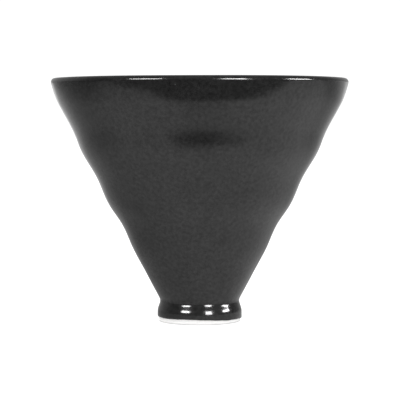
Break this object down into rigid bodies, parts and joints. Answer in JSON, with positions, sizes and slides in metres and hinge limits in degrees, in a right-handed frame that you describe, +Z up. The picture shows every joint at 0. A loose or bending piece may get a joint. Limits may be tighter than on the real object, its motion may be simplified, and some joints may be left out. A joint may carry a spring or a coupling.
{
  "type": "conical filter funnel",
  "caption": "Black-glazed ceramic filter funnel: a wide cone on a short beaded neck and bare foot, with a loose perforated plate and a paper disc inside.",
  "frame": {"origin": "centre of the foot's lower face, on the funnel's axis", "axes": "+Z up along the funnel's axis, from the foot to the rim; the funnel is round, so +X and +Y are free"},
  "size_m": [0.12, 0.12, 0.0988],
  "materials": {
    "bare_clay": "unglazed, fine matt grain",
    "black_glaze": "glossy black glaze with a faint orange peel",
    "white_porcelain": "satin white porcelain",
    "filter_paper": "soft fibrous paper"
  },
  "bodies": {
    "funnel": {"clay_body": "bare_clay", "glaze_coat": "black_glaze"},
    "plate": {"filter_plate": "white_porcelain"},
    "paper": {"filter_paper": "filter_paper"}
  },
  "joints": [
    {"name": "plate_lift", "type": "slide", "parent": "funnel", "child": "plate", "axis": [0, 0, 1], "range_m": [0, 0.09]},
    {"name": "paper_lift", "type": "slide", "parent": "plate", "child": "paper", "axis": [0, 0, 1], "range_m": [0, 0.09]}
  ]
}
